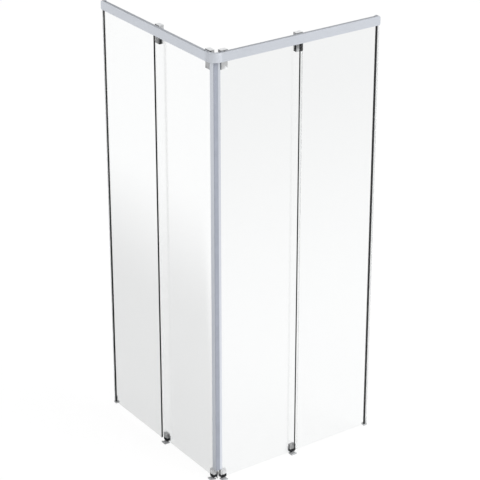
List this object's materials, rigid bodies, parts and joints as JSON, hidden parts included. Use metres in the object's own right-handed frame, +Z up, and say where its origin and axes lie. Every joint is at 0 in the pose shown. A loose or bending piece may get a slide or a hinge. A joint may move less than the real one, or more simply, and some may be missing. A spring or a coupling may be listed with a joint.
{
  "type": "shower screen",
  "caption": "Corner-entry shower screen with fixed glass panes, sliding glass doors on rollers in a rail that turns a rounded corner, and lower guides with release buttons.",
  "frame": {"origin": "centre of the square that the two arms span, on the floor plane under the gliding feet", "axes": "+Z up; the right arm runs along +X at the front (-Y) side and the left arm along +Y at the -X side, so the outer corner is at -X -Y and the walls are at +X and +Y"},
  "size_m": [0.8, 0.8, 1.877],
  "materials": {
    "satin_aluminium": "satin anodised",
    "dark_seal": "matt grey",
    "black_rubber": "matt",
    "black_plastic": "fine matt",
    "chrome": "polished",
    "steel": "brushed",
    "clear_glass": "polished",
    "clear_vinyl": "soft clear strip",
    "pale_plastic": "matt",
    "grey_nylon": "smooth"
  },
  "bodies": {
    "frame": {"right_rail": "satin_aluminium", "left_rail": "satin_aluminium", "corner_cover": "satin_aluminium", "corner_bracket": "black_plastic", "rail_screws": "steel", "right_end_cap": "satin_aluminium", "left_end_cap": "satin_aluminium", "right_wall_bracket": "steel", "left_wall_bracket": "steel", "right_fixed_glass": "clear_glass", "left_fixed_glass": "clear_glass", "glazing_gaskets": "black_rubber", "right_wall_gasket": "black_rubber", "left_wall_gasket": "black_rubber", "right_wall_fin": "clear_vinyl", "left_wall_fin": "clear_vinyl", "right_lower_clip": "pale_plastic", "left_lower_clip": "pale_plastic", "track_stops": "black_rubber"},
    "right_door": {"right_door_glass": "clear_glass", "right_closing_profile": "satin_aluminium", "right_magnet_seal": "black_rubber", "right_lead_hanger": "chrome", "right_trail_hanger": "chrome", "right_lead_clamp": "black_plastic", "right_trail_clamp": "black_plastic", "right_clamp_covers": "chrome", "right_roller_axles": "steel", "right_lead_guide": "black_plastic", "right_trail_guide": "black_plastic", "right_lead_foot": "pale_plastic", "right_trail_foot": "pale_plastic", "right_guide_plates": "steel", "right_button_springs": "steel", "right_door_screws": "steel"},
    "right_lead_wheel": {"right_lead_roller": "grey_nylon"},
    "right_lead_press": {"right_lead_button": "chrome"},
    "right_trail_wheel": {"right_trail_roller": "grey_nylon"},
    "right_trail_press": {"right_trail_button": "chrome"},
    "left_door": {"left_door_glass": "clear_glass", "left_closing_profile": "satin_aluminium", "left_magnet_seal": "black_rubber", "left_lead_hanger": "chrome", "left_trail_hanger": "chrome", "left_lead_clamp": "black_plastic", "left_trail_clamp": "black_plastic", "left_clamp_covers": "chrome", "left_roller_axles": "steel", "left_lead_guide": "black_plastic", "left_trail_guide": "black_plastic", "left_lead_foot": "pale_plastic", "left_trail_foot": "pale_plastic", "left_guide_plates": "steel", "left_button_springs": "steel", "left_door_screws": "steel", "left_nose_seal": "dark_seal"},
    "left_lead_wheel": {"left_lead_roller": "grey_nylon"},
    "left_lead_press": {"left_lead_button": "chrome"},
    "left_trail_wheel": {"left_trail_roller": "grey_nylon"},
    "left_trail_press": {"left_trail_button": "chrome"}
  },
  "joints": [
    {"name": "right_door_slide", "type": "slide", "parent": "frame", "child": "right_door", "axis": [1, 0, 0], "range_m": [0, 0.33]},
    {"name": "left_door_slide", "type": "slide", "parent": "frame", "child": "left_door", "axis": [0, 1, 0], "range_m": [0, 0.33]},
    {"name": "right_lead_roll", "type": "hinge", "parent": "right_door", "child": "right_lead_wheel", "pos_m": [-0.33, -0.383, 1.859], "axis": [0, 1, 0], "range_deg": [0, 2056]},
    {"name": "right_lead_button_push", "type": "slide", "parent": "right_door", "child": "right_lead_press", "axis": [0, 1, 0], "range_m": [0, 0.003], "stiffness_N_per_m": 600, "springref_m": -0.002, "deforming": ["right_button_springs"]},
    {"name": "right_trail_roll", "type": "hinge", "parent": "right_door", "child": "right_trail_wheel", "pos_m": [0.02, -0.383, 1.859], "axis": [0, 1, 0], "range_deg": [0, 2056]},
    {"name": "right_trail_button_push", "type": "slide", "parent": "right_door", "child": "right_trail_press", "axis": [0, 1, 0], "range_m": [0, 0.003], "stiffness_N_per_m": 600, "springref_m": -0.002, "deforming": ["right_button_springs"]},
    {"name": "left_lead_roll", "type": "hinge", "parent": "left_door", "child": "left_lead_wheel", "pos_m": [-0.383, -0.338, 1.859], "axis": [-1, 0, 0], "range_deg": [0, 2056]},
    {"name": "left_lead_button_push", "type": "slide", "parent": "left_door", "child": "left_lead_press", "axis": [1, 0, 0], "range_m": [0, 0.003], "stiffness_N_per_m": 600, "springref_m": -0.002, "deforming": ["left_button_springs"]},
    {"name": "left_trail_roll", "type": "hinge", "parent": "left_door", "child": "left_trail_wheel", "pos_m": [-0.383, 0.012, 1.859], "axis": [-1, 0, 0], "range_deg": [0, 2056]},
    {"name": "left_trail_button_push", "type": "slide", "parent": "left_door", "child": "left_trail_press", "axis": [1, 0, 0], "range_m": [0, 0.003], "stiffness_N_per_m": 600, "springref_m": -0.002, "deforming": ["left_button_springs"]}
  ],
  "couplings": [
    {"joint": "right_lead_roll", "follows": "right_door_slide", "rad_per_m": 108.7},
    {"joint": "right_trail_roll", "follows": "right_door_slide", "rad_per_m": 108.7},
    {"joint": "left_lead_roll", "follows": "left_door_slide", "rad_per_m": 108.7},
    {"joint": "left_trail_roll", "follows": "left_door_slide", "rad_per_m": 108.7}
  ]
}
